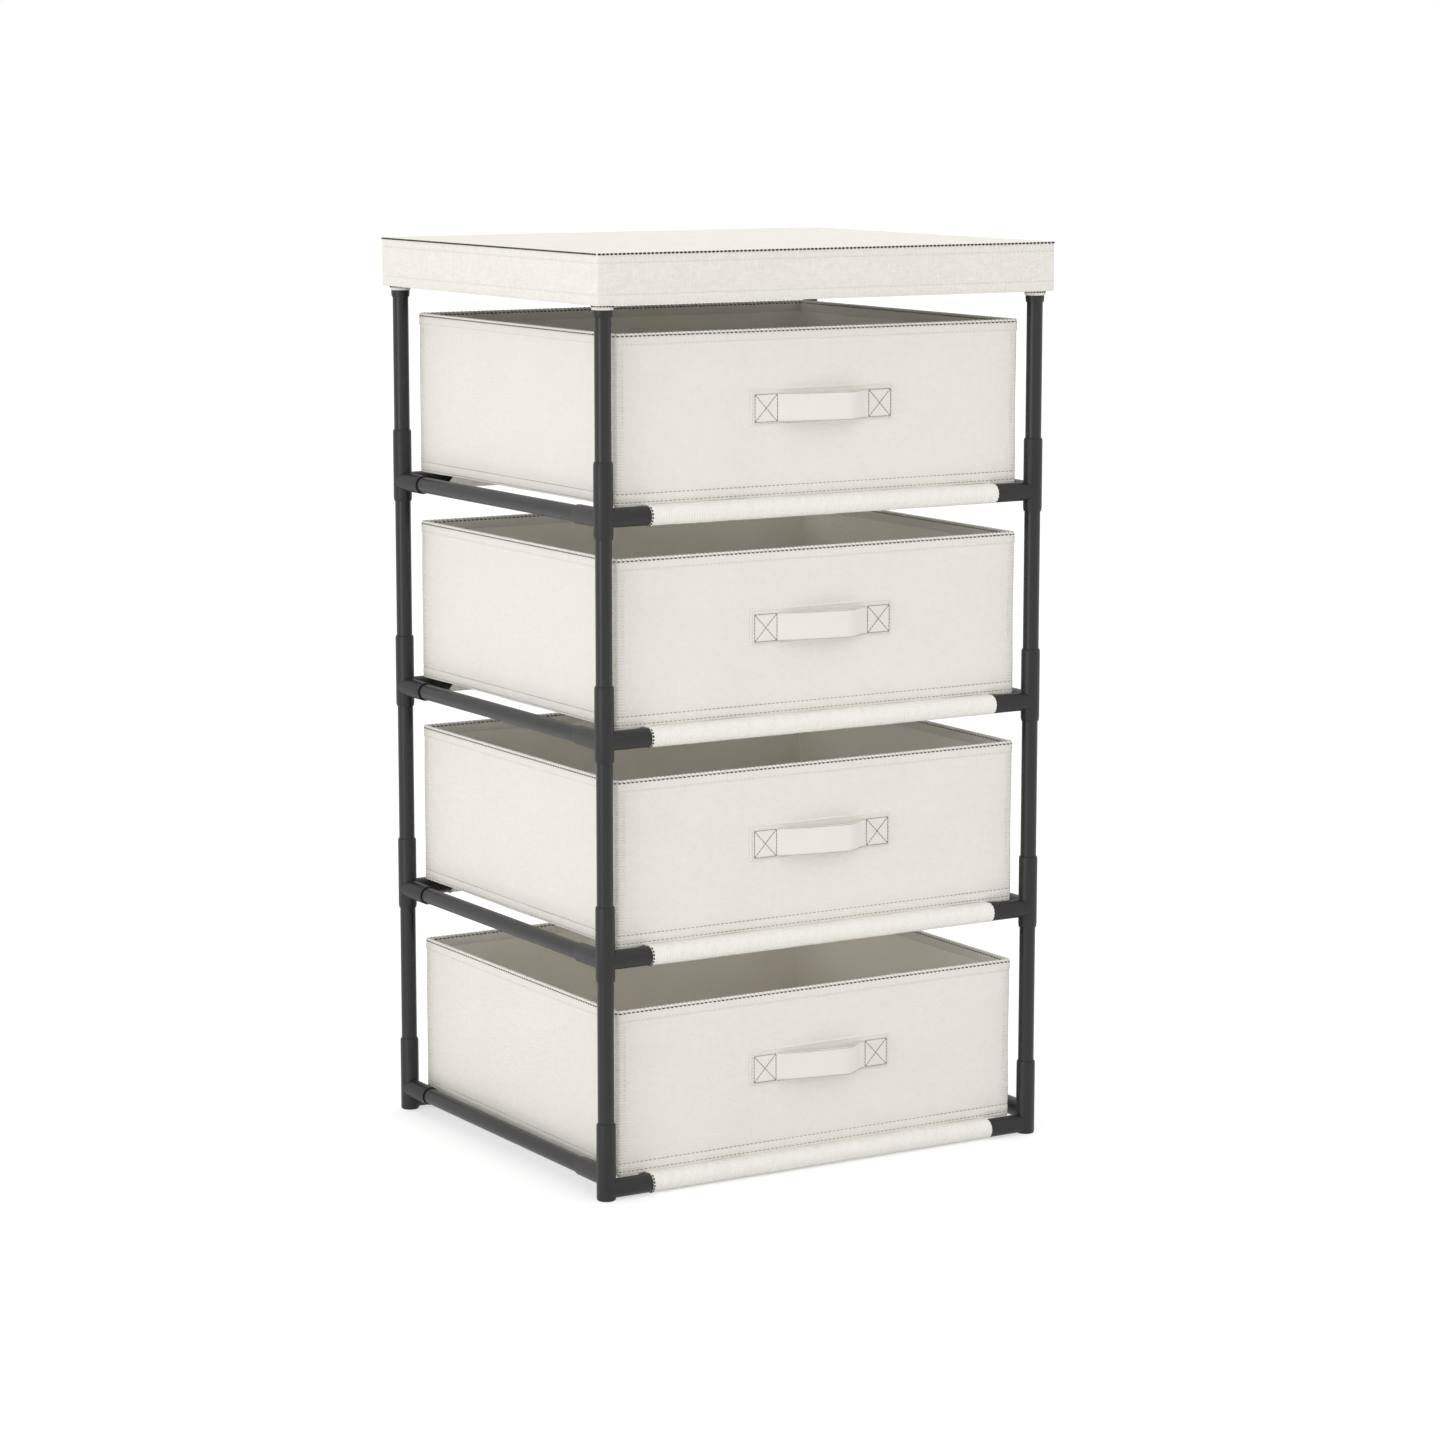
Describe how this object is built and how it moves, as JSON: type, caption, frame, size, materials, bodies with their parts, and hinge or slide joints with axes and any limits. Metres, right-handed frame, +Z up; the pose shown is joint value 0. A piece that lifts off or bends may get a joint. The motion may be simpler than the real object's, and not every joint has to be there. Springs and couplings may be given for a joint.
{
  "type": "storage shelf with fabric bins",
  "caption": "Free-standing tiered storage shelf: push-fit tube frame with corner connectors, cloth shelves, open fabric bins with strap handles and a boxed lift-off cover.",
  "frame": {"origin": "on the floor, under the middle of the shelf", "axes": "+Z up, the fronts of the bins face -Y, +X to the right seen from the front"},
  "size_m": [0.521, 0.443, 0.9071],
  "materials": {
    "plastic": "moulded charcoal plastic, fine satin",
    "steel": "charcoal powder coat on thin steel tube",
    "fabric": "matte cream fabric with a fine cross-hatched emboss and grey-brown stitching",
    "board": "plain fibreboard"
  },
  "bodies": {
    "frame": {"foot_connector_front_left": "plastic", "upright_1_front_left": "steel", "connector_2_front_left": "plastic", "upright_2_front_left": "steel", "connector_3_front_left": "plastic", "upright_3_front_left": "steel", "connector_4_front_left": "plastic", "upright_4_front_left": "steel", "foot_connector_front_right": "plastic", "upright_1_front_right": "steel", "connector_2_front_right": "plastic", "upright_2_front_right": "steel", "connector_3_front_right": "plastic", "upright_3_front_right": "steel", "connector_4_front_right": "plastic", "upright_4_front_right": "steel", "foot_connector_back_right": "plastic", "upright_1_back_right": "steel", "connector_2_back_right": "plastic", "upright_2_back_right": "steel", "connector_3_back_right": "plastic", "upright_3_back_right": "steel", "connector_4_back_right": "plastic", "upright_4_back_right": "steel", "foot_connector_back_left": "plastic", "upright_1_back_left": "steel", "connector_2_back_left": "plastic", "upright_2_back_left": "steel", "connector_3_back_left": "plastic", "upright_3_back_left": "steel", "connector_4_back_left": "plastic", "upright_4_back_left": "steel", "front_rail_1": "steel", "back_rail_1": "steel", "side_rail_1_left": "steel", "side_rail_1_right": "steel", "shelf_cloth_1": "fabric", "front_rail_2": "steel", "back_rail_2": "steel", "side_rail_2_left": "steel", "side_rail_2_right": "steel", "shelf_cloth_2": "fabric", "front_rail_3": "steel", "back_rail_3": "steel", "side_rail_3_left": "steel", "side_rail_3_right": "steel", "shelf_cloth_3": "fabric", "front_rail_4": "steel", "back_rail_4": "steel", "side_rail_4_left": "steel", "side_rail_4_right": "steel", "shelf_cloth_4": "fabric", "top_frame": "plastic"},
    "bin_1": {"bin_1": "fabric"},
    "bin_2": {"bin_2": "fabric"},
    "bin_3": {"bin_3": "fabric"},
    "bin_4": {"bin_4": "fabric"},
    "cover": {"cover": "fabric", "cover_board": "board"}
  },
  "joints": [
    {"name": "bin_1_slide", "type": "slide", "parent": "frame", "child": "bin_1", "axis": [0, -1, 0], "range_m": [0, 0.3]},
    {"name": "bin_2_slide", "type": "slide", "parent": "frame", "child": "bin_2", "axis": [0, -1, 0], "range_m": [0, 0.3]},
    {"name": "bin_3_slide", "type": "slide", "parent": "frame", "child": "bin_3", "axis": [0, -1, 0], "range_m": [0, 0.3]},
    {"name": "bin_4_slide", "type": "slide", "parent": "frame", "child": "bin_4", "axis": [0, -1, 0], "range_m": [0, 0.3]},
    {"name": "cover_lift", "type": "slide", "parent": "frame", "child": "cover", "axis": [0, 0, 1], "range_m": [0, 0.15]}
  ]
}
